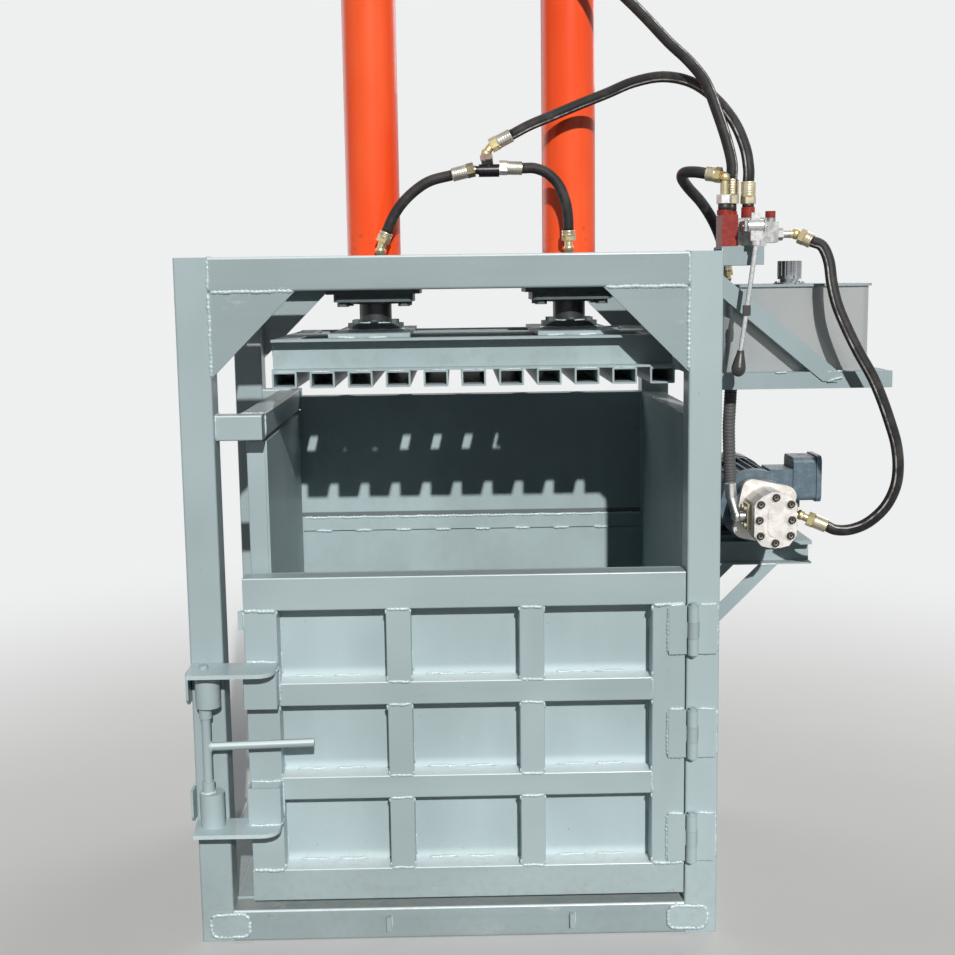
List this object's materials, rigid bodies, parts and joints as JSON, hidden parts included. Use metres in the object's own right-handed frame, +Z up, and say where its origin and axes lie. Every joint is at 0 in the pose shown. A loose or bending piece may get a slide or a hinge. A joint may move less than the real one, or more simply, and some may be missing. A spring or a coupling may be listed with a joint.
{
  "type": "recycling baler",
  "caption": "Vertical hydraulic baler: square-tube frame, hinged front and side doors, ribbed platen on tall cylinders, power unit on side shelves.",
  "frame": {"origin": "on the floor under the middle of the four posts, at the underside of the middle floor joist", "axes": "+X to the right seen from the front, +Y to the back, +Z up"},
  "size_m": [1.7274, 1.006, 2.776],
  "materials": {
    "frame_paint": "gloss, with weld beads and light wear",
    "cylinder_paint": "gloss orange-red",
    "bright_steel": "plain turned steel",
    "rod_chrome": "polished hard chrome",
    "cap_chrome": "polished",
    "pump_alloy": "cast, satin",
    "flange_paint": "matt beige",
    "valve_paint": "gloss red and grey",
    "zinc_brass": "yellow zinc plate",
    "hose_rubber": "smooth cover",
    "lever_steel": "bright, with a black knob"
  },
  "bodies": {
    "frame": {"posts": "frame_paint", "top_beams": "frame_paint", "cylinder_beams": "frame_paint", "gussets": "frame_paint", "sills": "frame_paint", "floor_joists": "frame_paint", "floor_plate": "frame_paint", "sill_patches": "frame_paint", "left_upper_rail": "frame_paint", "back_wall": "frame_paint", "back_liner": "frame_paint", "back_ribs": "frame_paint", "right_wall": "frame_paint", "right_ribs": "frame_paint", "side_hinge_fixed": "frame_paint", "post_hinge_leaves": "frame_paint", "hinge_pins": "bright_steel", "latch_keepers": "frame_paint", "cylinder_barrels": "cylinder_paint", "cylinder_heads": "frame_paint", "glands": "bright_steel", "oil_tank": "frame_paint", "tank_lid": "frame_paint", "filler_base": "cap_chrome", "upper_shelf": "frame_paint", "lower_shelf": "frame_paint", "shelf_braces": "frame_paint", "motor_body": "frame_paint", "motor_cowl": "frame_paint", "terminal_box": "frame_paint", "bell_housing": "frame_paint", "gear_pump": "pump_alloy", "pump_cover": "pump_alloy", "pump_flanges": "flange_paint", "control_valve": "valve_paint", "valve_bracket": "frame_paint", "brass_fittings": "zinc_brass", "pressure_hoses": "hose_rubber", "suction_hose": "hose_rubber"},
    "front_door": {"door_stiles": "frame_paint", "door_rails": "frame_paint", "door_mullions": "frame_paint", "door_sheet": "frame_paint", "door_hinge_leaves": "frame_paint", "latch_arms": "frame_paint", "latch_blocks": "frame_paint"},
    "latch": {"latch_shaft": "frame_paint", "latch_barrels": "frame_paint"},
    "side_door": {"side_door_sheet": "frame_paint", "side_door_frame": "frame_paint", "side_hinge_moving": "frame_paint"},
    "platen": {"platen_tubes": "frame_paint", "platen_channels": "frame_paint", "platen_beams": "frame_paint", "rod_flanges": "frame_paint", "piston_rods": "rod_chrome", "pistons": "bright_steel"},
    "rotor": {"motor_rotor": "bright_steel"},
    "breather_cap": {"filler_cap": "cap_chrome"},
    "lever": {"valve_lever": "lever_steel"}
  },
  "joints": [
    {"name": "front_door_hinge", "type": "hinge", "parent": "frame", "child": "front_door", "pos_m": [0.574, -0.4635, 0.5], "axis": [0, 0, 1], "range_deg": [0, 170]},
    {"name": "latch_turn", "type": "hinge", "parent": "front_door", "child": "latch", "pos_m": [-0.6, -0.494, 0.52], "axis": [0, 0, -1], "range_deg": [0, 100]},
    {"name": "side_door_hinge", "type": "hinge", "parent": "frame", "child": "side_door", "pos_m": [-0.52, 0.35, 0.66], "axis": [0, 0, -1], "range_deg": [0, 95]},
    {"name": "platen_slide", "type": "slide", "parent": "frame", "child": "platen", "axis": [0, 0, -1], "range_m": [0, 0.95]},
    {"name": "motor_spin", "type": "hinge", "parent": "frame", "child": "rotor", "pos_m": [0.789, 0, 1.028], "axis": [0, 1, 0], "continuous": true},
    {"name": "breather_cap_turn", "type": "hinge", "parent": "frame", "child": "breather_cap", "pos_m": [0.833, -0.285, 1.62], "axis": [0, 0, 1], "range_deg": [0, 90]},
    {"name": "lever_tilt", "type": "hinge", "parent": "frame", "child": "lever", "pos_m": [0.71, -0.455, 1.735], "axis": [1, 0, 0], "range_deg": [-8, 8], "stiffness_Nm_per_rad": 8}
  ]
}
